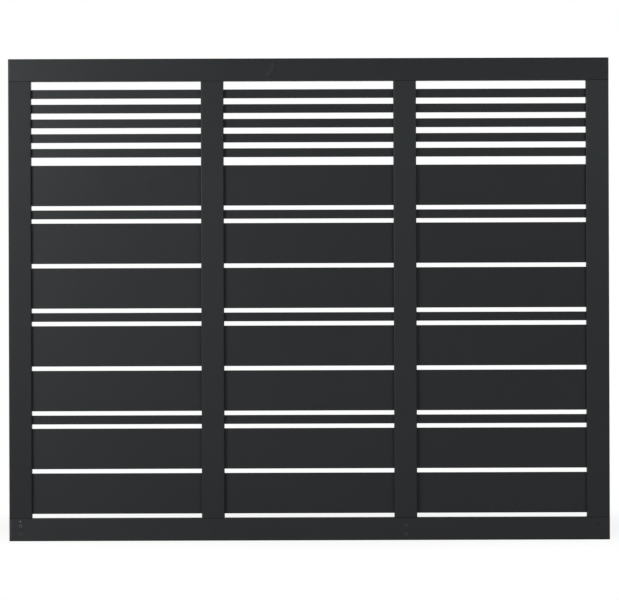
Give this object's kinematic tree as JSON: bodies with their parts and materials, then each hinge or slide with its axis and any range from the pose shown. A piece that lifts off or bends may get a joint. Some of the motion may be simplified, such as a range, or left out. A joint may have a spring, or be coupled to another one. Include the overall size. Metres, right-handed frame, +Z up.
{
  "type": "louvred fence panel",
  "caption": "Aluminium fence panel: box-section stiles and rails hold a louvred head of slim slats over wide boards with narrow slats between them.",
  "frame": {"origin": "middle of the bottom rail's underside", "axes": "+X along the panel to the right seen from the front, +Y from the front face to the back, +Z up"},
  "size_m": [2.242, 0.04, 1.8],
  "materials": {
    "powder_coat": "satin",
    "cap_plastic": "matte",
    "spigot_aluminium": "satin"
  },
  "bodies": {
    "root": {"top_rail": "powder_coat", "bottom_rail": "powder_coat", "left_stile": "powder_coat", "middle_left_stile": "powder_coat", "middle_right_stile": "powder_coat", "right_stile": "powder_coat", "frame_spigots": "spigot_aluminium", "rail_end_caps": "cap_plastic", "louvre_slats_left": "powder_coat", "louvre_slats_middle": "powder_coat", "louvre_slats_right": "powder_coat", "board_left_1": "powder_coat", "narrow_slat_left_1": "powder_coat", "board_left_2": "powder_coat", "board_left_3": "powder_coat", "narrow_slat_left_2": "powder_coat", "board_left_4": "powder_coat", "board_left_5": "powder_coat", "narrow_slat_left_3": "powder_coat", "board_left_6": "powder_coat", "board_left_7": "powder_coat", "board_middle_1": "powder_coat", "narrow_slat_middle_1": "powder_coat", "board_middle_2": "powder_coat", "board_middle_3": "powder_coat", "narrow_slat_middle_2": "powder_coat", "board_middle_4": "powder_coat", "board_middle_5": "powder_coat", "narrow_slat_middle_3": "powder_coat", "board_middle_6": "powder_coat", "board_middle_7": "powder_coat", "board_right_1": "powder_coat", "narrow_slat_right_1": "powder_coat", "board_right_2": "powder_coat", "board_right_3": "powder_coat", "narrow_slat_right_2": "powder_coat", "board_right_4": "powder_coat", "board_right_5": "powder_coat", "narrow_slat_right_3": "powder_coat", "board_right_6": "powder_coat", "board_right_7": "powder_coat"}
  },
  "joints": []
}
